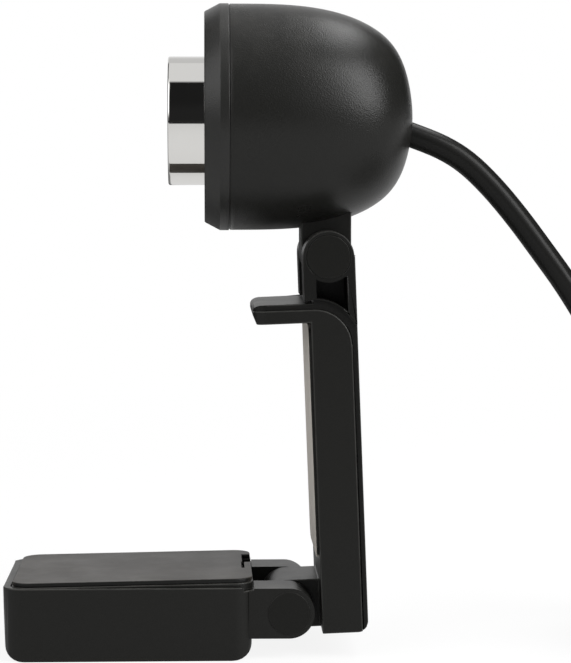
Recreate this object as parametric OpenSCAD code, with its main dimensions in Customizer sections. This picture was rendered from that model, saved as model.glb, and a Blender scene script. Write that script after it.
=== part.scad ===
// Desk and clip webcam on a folding stand.
// X points from the lens to the back, Y to the side, Z up. Millimetres.
// The origin is the centre of the foot's flat underside.

/* [Foot] */
// Length of the foot block, front to back
foot_len = 39.1; // [38.8:0.1:39.1]
// Width of the foot block
foot_w = 30; // [29.6:0.2:32]
// Height of the foot block's rim
foot_h = 11.45; // [11.3:0.05:11.6]
// Slope of the lid, rising to the hinge, in degrees
lid_slope = 1.0; // [0:0.1:1.2]
// Thickness of the grip pad on the lid
foot_pad_t = 0.7; // [0.4:0.1:0.8]

/* [Arm] */
// Lean of the upright arm towards the lens, in degrees
arm_lean = 2.2; // [0:0.1:4]
// Width of the arm and its lip
arm_w = 25.5; // [25:0.1:26.5]
// Thickness of the arm
arm_t = 7.25; // [7:0.05:7.5]
// How far the grip pad stands proud of the arm's front
arm_pad_proud = 0.45; // [0.3:0.05:0.6]

/* [Head] */
// Radius of the head's front
head_r = 18; // [17.8:0.1:18.2]
// Height of the head's axis
head_z = 84.6; // [84.4:0.1:85]
// Front plane of the bezel
bezel_x = 12; // [11.8:0.1:12.2]
// Rear end of the dome
dome_x = 45.2; // [45:0.1:45.6]
// Outer radius of the focus ring
ring_r = 10.2; // [10:0.1:10.3]
// How far the focus ring stands out of the bezel
ring_out = 5.73; // [5:0.01:6.2]

/* [Cable] */
// Diameter of the cable
cable_d = 4; // [3.8:0.1:4.2]
// Mean radius of the stored coil
coil_r = 20; // [19.75:0.25:20.25]

/* [Hidden] */
$fn = 64;
eps = 0.01;

// Foot
foot_half = foot_len / 2;
foot_side = foot_w / 2;
foot_corner = 3.3;
foot_draft = 0.35;
foot_wall = 1.6;
lid_x0 = -foot_half + 1.3;
lid_len = foot_half - 0.1 - lid_x0;
lid_side = foot_side - 0.7;
lid_t = 1.2;
lid_corner = 3;
weight_z = foot_wall;
weight_t = 6;
weight_holes = [-10, 8];

// Fold hinge, between the foot's two ears and the arm's knuckle
fold_x = foot_half + 5.55;
fold_z = 7.2;
fold_r = 3.95;
knuckle_half = 6.3;
ear_in = 6.6;
ear_out = 14;
pin_r = 1.25;
pin_play = 0.05;
cap_r = 3.35;
cap_t = 1.0;
washer_t = 0.2;

// Arm, drawn upright with the fold hinge at its origin, x to the back, z along the arm
arm_half = arm_w / 2;
arm_x0 = 5.1;
arm_x1 = arm_x0 + arm_t;
arm_z0 = -3.7;
strap_t = 0.9;
strap_side = arm_half - 0.45;
wrap_x = arm_x0 + 0.5;
wrap_z = 41.4;
wrap_r = arm_x1 - strap_t - wrap_x;
rib_r = wrap_r + 1.65;
lip_z0 = 45.15;
lip_z1 = wrap_z + wrap_r;
lip_x0 = -3.85;
lip_end_round = 1.5;
lip_relief = 0.75;
lip_corner = 2.2;
arm_pad_side = arm_half - 0.75;
arm_pad_z0 = 8;
arm_pad_z1 = lip_z0 - 0.3;
arm_screw_z = [13, 36];

// Tilt hinge, between the arm's two ears and the neck
tilt_x = 8.25;
tilt_z = 55.3;
tilt_r = 4;
neck_half_w = 5.2;
neck_r = 3.95;
tilt_ear_in = 5.5;
tilt_cap_r = 3.4;
tilt_wx = fold_x + tilt_x * cos(arm_lean) - tilt_z * sin(arm_lean);
tilt_wz = fold_z + tilt_x * sin(arm_lean) + tilt_z * cos(arm_lean);

// Head
bezel_depth = 3.9;
seam = 0.3;
shell_x = bezel_x + bezel_depth + seam;
shell_wall = 1.5;
board_x = 23.5;
board_t = 1.2;
board_r = 15;
post_r = 12;
post_angles = [65, 185, 305];
mic_z = head_z - 13.2;
mic_hole_z = head_z - 13.7;

// Lens, a little below the head's axis
lens_z = head_z - 0.6;
ring_play = 0.12;
barrel_r = 6;
barrel_x0 = 11.6;
barrel_x1 = 19.8;
flange_r = ring_r + 1;
retainer_y = 12.3;

// Cable: where it leaves the dome, and its route from the clamp to the coil
exit_x = 44.6;
exit_z = 82;
exit_drop = 17;
cable_r = cable_d / 2;
cable_path = [
    [42, 0, 82.8], [45, 0, 81.8], [50, 0, 79.8], [54, 0, 77.3], [58, 0, 73.5], [62, 0, 68.8],
    [66, 0, 63.5], [70, 0.2, 58], [73.7, 1.2, 52.3], [77.2, 3.4, 46.3], [80.6, 6.2, 40],
    [84, 9.2, 33.5], [87.8, 12.2, 26.8], [92.2, 14.6, 20.4], [97.6, 15.8, 15.9], [104, 16, 14]
];

// Stored coil: four layers of turns that lie beside and on each other
coil_x = 104;
turn_gap = cable_d + 0.1;
layer_turns = 2.75;
coil_out = coil_r + turn_gap * layer_turns / 2;
coil_in = coil_r - turn_gap * layer_turns / 2;
coil_y = 16 - coil_out;
coil_h = 4 * cable_d;
tie_t = 0.5;
tie_w = 6;

// Cable's far end on the surface, and the plug's place, pointing to -y
lead_path = [
    [104, 16], [109, 16], [114, 16], [120, 16], [126, 16], [131.4, 14.9], [135.9, 11.9],
    [138.9, 7.4], [140, 2]
];
plug_x = 140;
plug_y = 2;
nose_len = 5;
grip_len = 20;

// ---- Shared shapes ----

// A side outline (x, z) as a slab from y0 to y1
module slab(y0, y1) {
    translate([0, y1, 0]) rotate([90, 0, 0]) linear_extrude(y1 - y0) children();
}

// The same slab on both sides of the middle plane
module slab_pair(y0, y1) {
    slab(y0, y1) children();
    slab(-y1, -y0) children();
}

// Rod along Y, centred on the middle plane
module rod(x, z, r, len) {
    translate([x, 0, z]) rotate([90, 0, 0]) cylinder(r = r, h = len, center = true);
}

// Two discs along Y, mirrored about the middle plane
module disc_pair(x, z, r, y0, y1) {
    for (side = [0, 1]) mirror([0, side, 0])
        translate([x, y1, z]) rotate([90, 0, 0]) cylinder(r = r, h = y1 - y0);
}

// Two flat rings along Y, mirrored about the middle plane
module washer_pair(x, z, r_out, r_in, y0, y1) {
    for (side = [0, 1]) mirror([0, side, 0])
        translate([x, y1, z]) rotate([90, 0, 0]) difference() {
            cylinder(r = r_out, h = y1 - y0);
            translate([0, 0, -1]) cylinder(r = r_in, h = y1 - y0 + 2);
        }
}

// Rectangle with round corners, from its low and high corners
module round_rect(x0, x1, y0, y1, r) {
    translate([x0 + r, y0]) square([x1 - x0 - 2 * r, y1 - y0]);
    translate([x0, y0 + r]) square([x1 - x0, y1 - y0 - 2 * r]);
    for (x = [x0 + r, x1 - r], y = [y0 + r, y1 - r]) translate([x, y]) circle(r);
}

// Cylinder along +X from x0 to x1, at height z and side y
module barrel(x0, x1, r, z, y = 0) {
    translate([x0, y, z]) rotate([0, 90, 0]) cylinder(r = r, h = x1 - x0);
}

// Turned part about the X axis at height z: points are [radius, x]
module turned(z, points) {
    translate([0, 0, z]) rotate([0, 90, 0]) rotate_extrude() polygon(points);
}

// Screw along +Z from its head: flat head at z = 0 to head_t, shank below
module screw(head_r, head_t, shank_r, shank_len) {
    cylinder(r = head_r, h = head_t);
    translate([0, 0, -shank_len]) cylinder(r = shank_r, h = shank_len + eps);
}

// Places children drawn in the arm's own frame
module on_arm() {
    translate([fold_x, 0, fold_z]) rotate([0, -arm_lean, 0]) children();
}

// Places children drawn on the lid's sloping top, x from its front edge
module on_lid() {
    translate([lid_x0, 0, foot_h]) rotate([0, -lid_slope, 0]) children();
}

// ---- Foot ----

function corner_arc(cx, cz, rx, rz, a0, a1) =
    [for (i = [0:6]) let (a = a0 + (a1 - a0) * i / 6) [cx + rx * cos(a), cz + rz * sin(a)]];

module foot_outline() {
    low = foot_half - foot_draft;
    polygon(concat(
        [[foot_half, foot_h], [-foot_half, foot_h]],
        corner_arc(-low + 3, 2.3, 3, 2.3, 180, 270),
        corner_arc(low - 3, 2.3, 3, 2.3, 270, 360)));
}

module foot_ear_outline() {
    translate([fold_x, fold_z]) circle(fold_r);
    translate([foot_half - 2.5, fold_z - fold_r]) square([fold_x - foot_half + 2.5, 2 * fold_r]);
}

module weight_bosses(r, z0, z1) {
    for (x = weight_holes) translate([x, 0, z0]) cylinder(r = r, h = z1 - z0);
}

module foot_shell() color([0.07, 0.07, 0.075]) difference() {
    union() {
        difference() {
            intersection() {
                slab(-foot_side, foot_side) foot_outline();
                linear_extrude(foot_h)
                    round_rect(-foot_half, foot_half, -foot_side, foot_side, foot_corner);
            }
            translate([0, 0, foot_wall]) linear_extrude(foot_h)
                round_rect(-foot_half + foot_wall, foot_half - foot_wall,
                    -foot_side + foot_wall, foot_side - foot_wall, 2);
        }
        intersection() {
            slab_pair(ear_in, ear_out) foot_ear_outline();
            translate([foot_half - foot_wall / 2, -foot_w, 0]) cube([20, 2 * foot_w, foot_h]);
        }
        weight_bosses(2.2, foot_wall - eps, weight_z + weight_t - 0.4);
    }
    on_lid() translate([0, 0, -lid_t - 0.05]) linear_extrude(6) {
        round_rect(-0.1, lid_len, -lid_side - 0.1, lid_side + 0.1, lid_corner);
        translate([lid_len - 4, -lid_side - 0.1]) square([4.15, 2 * lid_side + 0.2]);
    }
    rod(fold_x, fold_z, pin_r, 2 * ear_out + 2);
    disc_pair(fold_x, fold_z, cap_r, ear_out - cap_t, ear_out + 1);
    weight_bosses(0.8, foot_wall + 1, weight_z + weight_t);
}

module lid_plan(inset) {
    difference() {
        round_rect(inset, lid_len - inset, -lid_side + inset, lid_side - inset, lid_corner);
        // Moulded catch window and its slit at the hinge end
        translate([lid_len - 1.45, 1.8]) square([3, 7.4]);
        translate([lid_len - 1.6, -3.7]) square([0.4, 5.6]);
    }
}

module foot_lid() color([0.09, 0.09, 0.09]) on_lid() {
    translate([0, 0, -lid_t]) linear_extrude(lid_t) lid_plan(0);
    // Locating rim inside the shell's walls
    translate([0, 0, -lid_t - 1]) linear_extrude(1 + eps) difference() {
        round_rect(1, lid_len - 2.2, -lid_side + 1.2, lid_side - 1.2, 2);
        round_rect(2.2, lid_len - 3.4, -lid_side + 2.4, lid_side - 2.4, 1.5);
    }
}

module foot_pad() color([0.16, 0.155, 0.15]) on_lid()
    linear_extrude(foot_pad_t) lid_plan(0.1);

module foot_weight() color([0.5, 0.5, 0.5]) difference() {
    translate([0, 0, weight_z]) linear_extrude(weight_t)
        round_rect(-16.5, 14.5, -12.4, 12.4, 1.5);
    weight_bosses(2.35, 0, 12);
}

module weight_screws() color([0.65, 0.65, 0.66])
    for (x = weight_holes) translate([x, 0, weight_z + weight_t]) screw(3, 1, 0.8, 5);

module fold_pin() color([0.7, 0.7, 0.7]) rod(fold_x, fold_z, pin_r, 2 * (ear_out - cap_t));

module fold_washers() color([0.8, 0.8, 0.78])
    washer_pair(fold_x, fold_z, 3.2, pin_r, ear_in - washer_t, ear_in);

module fold_caps() color([0.07, 0.07, 0.075])
    disc_pair(fold_x, fold_z, cap_r, ear_out - cap_t, ear_out + 0.1);

// ---- Arm ----

// Whole side outline of the two mouldings, without the ears and the lip
module arm_outline() {
    r = 1.6;
    translate([arm_x0, arm_z0]) square([arm_t - r, 70]);
    translate([arm_x0, arm_z0 + r]) square([arm_t, 70]);
    translate([arm_x1 - r, arm_z0 + r]) circle(r);
}

module lip_outline(z0, z1) {
    polygon([[lip_x0 + 0.6 * (lip_z1 - z0) / 2.3, z0], [wrap_x, z0], [wrap_x, z1],
        [lip_x0, z1], [lip_x0, max(z0, lip_z1 - 0.6)]]);
}

// Plan of the arm and lip: the lip's two front corners are round
module arm_plan(side) {
    round_rect(lip_x0, arm_x1 + 10, -side, side, lip_corner);
}

module bracket_outline() {
    intersection() {
        arm_outline();
        union() {
            translate([arm_x0, arm_z0]) square([arm_x1 - strap_t - arm_x0, wrap_z - arm_z0]);
            translate([wrap_x, wrap_z]) circle(wrap_r - pin_play);
            translate([arm_x0, wrap_z - 1]) square([wrap_x - arm_x0, lip_z1 - wrap_z + 1]);
        }
    }
    lip_outline(lip_z0, lip_z1);
}

module arm_bracket() color([0.07, 0.07, 0.075]) on_arm() difference() {
    union() {
        intersection() {
            slab(-arm_half, arm_half) bracket_outline();
            translate([0, 0, -10]) linear_extrude(80) arm_plan(arm_half);
        }
        slab(-knuckle_half, knuckle_half) {
            circle(fold_r);
            translate([0, arm_z0]) square([arm_x0 + 1, fold_r - arm_z0]);
        }
    }
    // Hollow behind the front wall, open to the strap
    translate([arm_x0 + 1.6, -arm_half + 1.6, 4.5]) cube([10, arm_w - 3.2, 35.5]);
    rod(0, 0, pin_r + pin_play, 40);
    // Shallow bed for the grip pad
    translate([arm_x0 + 0.5, 0, 0]) rotate([0, -90, 0]) linear_extrude(10)
        round_rect(arm_pad_z0 - 0.1, arm_pad_z1 + 0.1, -arm_pad_side - 0.1, arm_pad_side + 0.1, 3);
    // Relief at the lip's root, so that a screen's sharp edge seats fully
    translate([arm_x0 - lip_relief, -arm_pad_side - 0.3, lip_z0 - eps])
        cube([lip_relief, 2 * arm_pad_side + 0.6, 0.25 + eps]);
    for (z = arm_screw_z) {
        barrel(arm_x0, arm_x0 + 1.2, 1.9, z);
        barrel(arm_x0, arm_x0 + 3, 0.9, z);
    }
}

module strap_outline() {
    intersection() {
        arm_outline();
        difference() {
            union() {
                translate([arm_x1 - strap_t, arm_z0]) square([2, wrap_z - arm_z0]);
                difference() {
                    translate([wrap_x, wrap_z]) circle(rib_r);
                    translate([0, 0]) square([40, wrap_z]);
                    translate([0, 0]) square([wrap_x, 80]);
                }
            }
            translate([wrap_x, wrap_z]) circle(wrap_r);
        }
    }
    // Flat part over the lip, with a rounded end
    polygon(concat([[wrap_x + eps, lip_z1 + strap_t], [wrap_x + eps, lip_z1]],
        [for (a = [0:15:90])
            [lip_x0 + lip_end_round * (1 - cos(a)), lip_z1 + strap_t * sin(a)]]));
}

module tilt_ear_outline() {
    difference() {
        union() {
            translate([tilt_x, tilt_z]) circle(tilt_r);
            translate([tilt_x - tilt_r, lip_z1 + 0.5]) square([tilt_r, tilt_z - lip_z1 - 0.5]);
            translate([tilt_x, wrap_z + 3.2]) square([arm_x1 - tilt_x, tilt_z - wrap_z - 3.2]);
        }
        translate([wrap_x, wrap_z]) circle(rib_r - 0.2);
    }
}

module ear_window_outline() {
    difference() {
        translate([tilt_x - tilt_r + 1.9, wrap_z]) square([4.8, tilt_z - wrap_z]);
        translate([wrap_x, wrap_z]) circle(rib_r);
        translate([tilt_x, tilt_z]) circle(tilt_r);
    }
}

module arm_strap() color([0.07, 0.07, 0.075]) on_arm() difference() {
    union() {
        intersection() {
            slab(-strap_side, strap_side) strap_outline();
            translate([0, 0, -10]) linear_extrude(80) arm_plan(strap_side);
        }
        slab_pair(tilt_ear_in, arm_half) tilt_ear_outline();
        for (z = arm_screw_z) barrel(arm_x0 + 1.6, arm_x1 - 0.3, 2, z);
    }
    slab_pair(tilt_ear_in + 1.6, arm_half + 1) ear_window_outline();
    rod(tilt_x, tilt_z, pin_r, 40);
    disc_pair(tilt_x, tilt_z, tilt_cap_r, arm_half - cap_t, arm_half + 1);
    for (z = arm_screw_z) barrel(arm_x0 + 1, arm_x0 + 5.4, 0.8, z);
}

module arm_pad() color([0.2, 0.19, 0.18]) on_arm()
    translate([arm_x0 + 0.5, 0, 0]) rotate([0, -90, 0]) linear_extrude(0.5 + arm_pad_proud)
        round_rect(arm_pad_z0, arm_pad_z1, -arm_pad_side, arm_pad_side, 2.9);

module arm_screws() color([0.65, 0.65, 0.66]) on_arm() for (z = arm_screw_z) {
    barrel(arm_x0 + 0.6, arm_x0 + 1.2, 1.7, z);
    barrel(arm_x0 + 1.1, arm_x0 + 5.4, 0.8, z);
}

module tilt_pin() color([0.7, 0.7, 0.7]) on_arm() rod(tilt_x, tilt_z, pin_r, 2 * (arm_half - cap_t));

module tilt_washers() color([0.8, 0.8, 0.78]) on_arm()
    washer_pair(tilt_x, tilt_z, 3.2, pin_r, tilt_ear_in - washer_t, tilt_ear_in);

module tilt_caps() color([0.07, 0.07, 0.075]) on_arm()
    disc_pair(tilt_x, tilt_z, tilt_cap_r, arm_half - cap_t, arm_half + 0.1);

// ---- Head ----

// Radius of the rear shell at x: a slightly tapering barrel that closes into a dome
function dome_radius(x, inset) =
    let (t = min(1, (x - shell_x) / (dome_x - inset - shell_x)))
    (head_r - 0.05 - inset) * pow(max(0, 1 - 0.68 * pow(t, 3.25) - 0.32 * pow(t, 17)), 0.637);

// Outline of the dome as [radius, x], with finer steps where it closes
function dome_outline(inset) =
    [for (i = [0:28]) let (t = sin(90 * i / 28), x = shell_x + t * (dome_x - inset - shell_x))
        [i == 28 ? 0 : dome_radius(x, inset), x]];

module dome_solid(inset, x0) {
    turned(head_z, concat([[0, x0], [dome_outline(inset)[0][0], x0]], dome_outline(inset)));
}

module neck_solid(play) {
    translate([tilt_wx - neck_r - play, -neck_half_w - play, tilt_wz])
        cube([2 * (neck_r + play), 2 * (neck_half_w + play), 70.5 - tilt_wz]);
}

module along_exit() {
    translate([exit_x, 0, exit_z]) rotate([0, 90 + exit_drop, 0]) children();
}

module rear_shell() color([0.05, 0.05, 0.055]) difference() {
    union() {
        difference() {
            dome_solid(0, shell_x);
            dome_solid(shell_wall, shell_x - 1);
        }
        // Board posts, trimmed to the dome
        intersection() {
            for (a = post_angles)
                barrel(board_x + board_t, 44, 2, head_z + post_r * sin(a), post_r * cos(a));
            dome_solid(shell_wall / 2, shell_x);
        }
        // Seat of the cable clamp
        intersection() {
            along_exit() translate([0, 0, -7]) cylinder(r = 4.6, h = 7);
            dome_solid(shell_wall / 2, shell_x);
        }
    }
    for (a = post_angles) barrel(board_x, board_x + 7, 0.8, head_z + post_r * sin(a), post_r * cos(a));
    neck_solid(0.05);
    along_exit() translate([0, 0, -20]) cylinder(r = 2.15, h = 30);
    along_exit() translate([0, 0, -12]) cylinder(r = 3.6, h = 9.5);
}

module neck() color([0.06, 0.06, 0.065]) difference() {
    union() {
        neck_solid(0);
        rod(tilt_wx, tilt_wz, neck_r, 2 * neck_half_w);
        // Flange inside the head
        intersection() {
            translate([tilt_wx - 6, -7.5, 69.6]) cube([12, 15, 1.6]);
            dome_solid(shell_wall + 0.05, shell_x);
        }
    }
    rod(tilt_wx, tilt_wz, pin_r + pin_play, 40);
}

module front_bezel() color([0.06, 0.06, 0.065]) difference() {
    turned(head_z, [
        [0, bezel_x], [head_r - 1.5, bezel_x], [head_r - 1.1, bezel_x + 0.2], [head_r - 0.2, bezel_x + 2],
        [head_r, bezel_x + 2.6], [head_r, bezel_x + bezel_depth], [head_r - 0.7, bezel_x + bezel_depth],
        [head_r - 0.7, shell_x], [head_r - 1.6, shell_x], [head_r - 1.6, shell_x + 2.4],
        [head_r - 2.8, shell_x + 2.4], [head_r - 2.8, bezel_x + 2], [0, bezel_x + 2]]);
    barrel(bezel_x - 1, bezel_x + 3, ring_r + ring_play, lens_z);
    barrel(bezel_x - 1, bezel_x + 3, 0.75, head_z + 13.6);
    barrel(bezel_x - 1, bezel_x + 3, 0.5, mic_hole_z);
    // Relief over the focus ring's flange
    barrel(bezel_x + 1, bezel_x + 3, flange_r + 0.2, lens_z);
    for (y = [-retainer_y, retainer_y]) barrel(bezel_x + 0.8, bezel_x + 3, 0.5, lens_z, y);
}

// Flat plate that holds the focus ring's flange in the bezel
module ring_retainer() color([0.7, 0.7, 0.72]) difference() {
    intersection() {
        barrel(bezel_x + 2, bezel_x + 2.8, 13.8, lens_z);
        translate([bezel_x, -20, lens_z - 10.2]) cube([5, 40, 20.4]);
    }
    barrel(bezel_x + 1, bezel_x + 5, 9.6, lens_z);
    for (y = [-retainer_y, retainer_y]) barrel(bezel_x, bezel_x + 5, 0.6, lens_z, y);
}

module retainer_screws() color([0.65, 0.65, 0.66]) for (y = [-retainer_y, retainer_y]) {
    barrel(bezel_x + 2.8, bezel_x + 3.4, 1.1, lens_z, y);
    barrel(bezel_x + 0.8, bezel_x + 2.9, 0.5, lens_z, y);
}

module light_pipe() color([0.85, 0.9, 1]) barrel(bezel_x, board_x - 1, 0.75, head_z + 13.6);

module microphone() color([0.75, 0.75, 0.72]) barrel(bezel_x + 2.5, bezel_x + 4.7, 1.5, mic_z);

module mic_boot() color([0.1, 0.1, 0.1]) difference() {
    barrel(bezel_x + 2, bezel_x + 4.7, 1.9, mic_z);
    barrel(bezel_x + 2.5, bezel_x + 5, 1.5, mic_z);
    barrel(bezel_x + 1, bezel_x + 3, 0.5, mic_hole_z);
}

module main_board() color([0.05, 0.25, 0.12]) difference() {
    barrel(board_x, board_x + board_t, board_r, head_z);
    for (a = post_angles)
        barrel(board_x - 1, board_x + 3, 0.95, head_z + post_r * sin(a), post_r * cos(a));
}

module board_screws() color([0.65, 0.65, 0.66]) for (a = post_angles)
    translate([board_x, post_r * cos(a), head_z + post_r * sin(a)])
        rotate([0, -90, 0]) screw(1.7, 0.9, 0.8, 6);

module status_led() color([0.9, 0.95, 1])
    translate([board_x - 1, -0.8, head_z + 12.8]) cube([1, 1.6, 1.6]);

module image_sensor() color([0.15, 0.16, 0.2])
    translate([board_x - 1, -4, lens_z - 4]) cube([1, 8, 8]);

module control_chip() color([0.08, 0.08, 0.08])
    translate([board_x + board_t, -3.5, head_z + 2]) cube([1, 7, 7]);

module lens_holder() color([0.08, 0.08, 0.08]) difference() {
    union() {
        translate([board_x - 2.5, -6.9, lens_z - 6.9]) cube([2.5, 13.8, 13.8]);
        barrel(16.6, board_x - 2, 7.6, lens_z);
    }
    barrel(16, board_x - 3, barrel_r + pin_play, lens_z);
    barrel(board_x - 3.5, board_x - 1.4, 4.3, lens_z);
    translate([board_x - 1.4, -5.6, lens_z - 5.6]) cube([2, 11.2, 11.2]);
}

module ir_filter() color([0.55, 0.75, 0.8, 0.6]) barrel(board_x - 2.4, board_x - 1.8, 4.3, lens_z);

module board_socket() color([0.92, 0.9, 0.82])
    translate([board_x + board_t, -4, head_z - 5]) cube([4, 8, 4]);

module core_wires() color([0.7, 0.2, 0.15]) for (y = [-2.4, -0.8, 0.8, 2.4]) {
    from = [board_x + board_t + 4, y, head_z - 3];
    to = [36.4, y * 0.4, 84.2];
    run = to - from;
    translate(from) rotate([0, acos(run[2] / norm(run)), atan2(run[1], run[0])])
        cylinder(r = 0.3, h = norm(run), $fn = 16);
}

// Moulded clamp on the cable's end, seated inside the dome
module cable_clamp() color([0.12, 0.12, 0.12]) along_exit()
    translate([0, 0, -8.5]) cylinder(r = 3.55, h = 5.95);

// ---- Lens ----

module lens_barrel() color([0.06, 0.06, 0.06]) difference() {
    barrel(barrel_x0, barrel_x1, barrel_r, lens_z);
    barrel(barrel_x0 - 1, barrel_x0 + 0.8, 4.6, lens_z);
    barrel(barrel_x0 - 1, barrel_x0 + 2.4, 3.9, lens_z);
    barrel(barrel_x0, barrel_x1 - 1.8, 2.2, lens_z);
    barrel(barrel_x1 - 1.8, barrel_x1 + 1, 3, lens_z);
}

// Front element: flat rim with a shallow crown
module front_glass() color([0.5, 0.55, 0.65, 0.5]) turned(lens_z, concat(
    [[0, barrel_x0 + 2.4], [3.9, barrel_x0 + 2.4], [3.9, barrel_x0 + 1.5]],
    [for (i = [1:8]) let (a = 26 * (1 - i / 8))
        [3.9 * sin(a) / sin(26), barrel_x0 + 1.5 - 8.9 * (cos(a) - cos(26))]]));

module rear_glass() color([0.5, 0.55, 0.65, 0.5]) barrel(barrel_x1 - 1.8, barrel_x1 - 0.6, 3, lens_z);

// Chromed focus ring; its flange turns behind the bezel
module focus_ring() color([0.9, 0.9, 0.92]) turned(lens_z, [
    [9.3, bezel_x - ring_out], [ring_r - 0.4, bezel_x - ring_out],
    [ring_r - 0.12, bezel_x - ring_out + 0.12],
    [ring_r, bezel_x - ring_out + 0.4], [ring_r, bezel_x + 1.1], [flange_r, bezel_x + 1.1],
    [flange_r, bezel_x + 1.9], [barrel_r + 0.1, bezel_x + 1.9], [barrel_r + 0.1, bezel_x + 0.4],
    [9.1, bezel_x + 0.4], [9.1, bezel_x - ring_out + 0.2]]);

// Black stepped hood inside the ring
module lens_hood() color([0.05, 0.05, 0.05]) turned(lens_z, concat(
    [[9.1, bezel_x - ring_out + 0.5]], [[9.1, bezel_x + 0.4]], [[barrel_r + 0.3, bezel_x + 0.4]],
    [[barrel_r + 0.3, bezel_x - 0.9]], [[5.1, bezel_x - 0.9]],
    [for (i = [0:4]) let (x = bezel_x - 1.3 - 0.8 * i)
        each [[5.1 + 0.75 * i, x], [5.85 + 0.75 * i, x]]]));

// ---- Cable ----

// Tube of n sides through points; none of its headings may lie along the direction ref
module tube(points, r, ref, n = 10) {
    count = len(points);
    function heading(k) = let (d = points[min(k + 1, count - 1)] - points[max(k - 1, 0)]) d / norm(d);
    function ring(k) = let (u = cross(ref, heading(k)), side = u / norm(u), up = cross(heading(k), side))
        [for (i = [0:n - 1]) points[k] + r * (cos(360 * i / n) * side + sin(360 * i / n) * up)];
    polyhedron(
        points = [for (k = [0:count - 1]) each ring(k)],
        faces = concat(
            [[for (i = [0:n - 1]) i]],
            [for (k = [0:count - 2], i = [0:n - 1])
                [k * n + i, (k + 1) * n + i, (k + 1) * n + (i + 1) % n, k * n + (i + 1) % n]],
            [[for (i = [n - 1:-1:0]) (count - 1) * n + i]]));
}

// Point halfway between point k and the next one, on the smooth curve through them
function halfway(p, k) = (9 * (p[k] + p[k + 1]) - p[max(k - 1, 0)] - p[min(k + 2, len(p) - 1)]) / 16;

// The route with a ring at each point and one more halfway
function dense(p) = concat([for (k = [0:len(p) - 2]) each [p[k], halfway(p, k)]], [p[len(p) - 1]]);

module cable() color([0.06, 0.06, 0.06]) {
    tube(dense(cable_path), cable_r, [0, 1, 0]);
    tube([for (p = lead_path) [p[0], p[1], cable_r]], cable_r, [0, 0, 1]);
}

// Band around the coil's section, on its near side
module tie_band() {
    sink = 0.3;
    translate([coil_x + tie_w / 2, coil_y, 0]) rotate([90, 0, -90]) linear_extrude(tie_w)
        difference() {
            round_rect(coil_in - cable_r - tie_t, coil_out + cable_r + tie_t, 0, coil_h + tie_t, 1.9);
            round_rect(coil_in - cable_r + sink, coil_out + cable_r - sink, tie_t + sink,
                coil_h - sink, 1.5);
        }
}

// Closed outer shape of the wound turns
module cable_coil() color([0.06, 0.06, 0.06]) difference() {
    translate([coil_x, coil_y, 0]) rotate_extrude(convexity = 4)
        round_rect(coil_in - cable_r, coil_out + cable_r, 0, coil_h, 1.6);
    tie_band();
    // Clear of the cable's two ends
    translate([coil_x - 10, 13.3, coil_h - cable_d - 0.1]) cube([10, 10, 10]);
    translate([coil_x, 13.9, -1]) cube([14, 10, cable_d + 1.1]);
}

module coil_tie() color([0.1, 0.1, 0.1]) tie_band();

// Places children drawn with the plug's cable end at the origin, pointing to +x
module on_plug() {
    translate([plug_x, plug_y, 0]) rotate([0, 0, -90]) children();
}

module plug_grip() color([0.06, 0.06, 0.06]) on_plug() {
    translate([nose_len, 0, 0]) linear_extrude(8) round_rect(0, grip_len, -8, 8, 2);
    barrel(0, nose_len + 1, 3, 3);
}

module plug_shell() color([0.75, 0.75, 0.76]) on_plug()
    translate([nose_len + grip_len, -6, 1.75]) difference() {
        cube([12, 12, 4.5]);
        translate([-1, 0.3, 0.3]) cube([14, 11.4, 3.9]);
    }

module plug_tongue() color([0.9, 0.9, 0.88]) on_plug()
    translate([nose_len + grip_len, -5.7, 4]) cube([11.6, 11.4, 1.95]);

module plug_contacts() color([0.85, 0.65, 0.25]) on_plug() for (y = [-3.5, -1, 1, 3.5])
    translate([nose_len + grip_len + 2, y - 0.5, 3.8]) cube([9, 1, 0.2]);

foot_shell();
foot_lid();
foot_pad();
foot_weight();
weight_screws();
fold_pin();
fold_washers();
fold_caps();
arm_bracket();
arm_strap();
arm_pad();
arm_screws();
tilt_pin();
tilt_washers();
tilt_caps();
neck();
rear_shell();
front_bezel();
ring_retainer();
retainer_screws();
light_pipe();
microphone();
mic_boot();
main_board();
board_screws();
status_led();
image_sensor();
control_chip();
lens_holder();
ir_filter();
board_socket();
core_wires();
cable_clamp();
lens_barrel();
front_glass();
rear_glass();
focus_ring();
lens_hood();
cable();
cable_coil();
coil_tie();
plug_grip();
plug_shell();
plug_tongue();
plug_contacts();
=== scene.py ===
# %% [markdown]
# # A webcam on a folding clip stand
#
# This lesson dresses a finished construction model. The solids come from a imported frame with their
# bodies and joints, and everything here is made in metres in that same frame: X runs from the lens
# to the back, Y across the foot, Z up. Where a moulding's sharp edges would look machined, a piece
# with rounded edges stands in for its solid.

import math

import bmesh
import bpy
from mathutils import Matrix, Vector


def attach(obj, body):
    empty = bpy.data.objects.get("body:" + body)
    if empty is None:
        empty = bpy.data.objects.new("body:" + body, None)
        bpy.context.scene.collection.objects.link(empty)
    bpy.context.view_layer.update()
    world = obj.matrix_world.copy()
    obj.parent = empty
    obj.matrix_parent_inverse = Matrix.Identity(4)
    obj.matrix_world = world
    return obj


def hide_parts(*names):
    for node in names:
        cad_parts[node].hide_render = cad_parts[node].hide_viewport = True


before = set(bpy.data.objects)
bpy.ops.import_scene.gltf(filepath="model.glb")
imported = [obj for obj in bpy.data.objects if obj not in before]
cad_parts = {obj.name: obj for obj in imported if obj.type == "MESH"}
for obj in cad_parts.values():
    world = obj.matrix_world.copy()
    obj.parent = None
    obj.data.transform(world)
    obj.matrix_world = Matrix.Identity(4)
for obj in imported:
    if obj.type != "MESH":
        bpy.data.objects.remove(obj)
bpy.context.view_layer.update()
MM = 0.001

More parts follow.
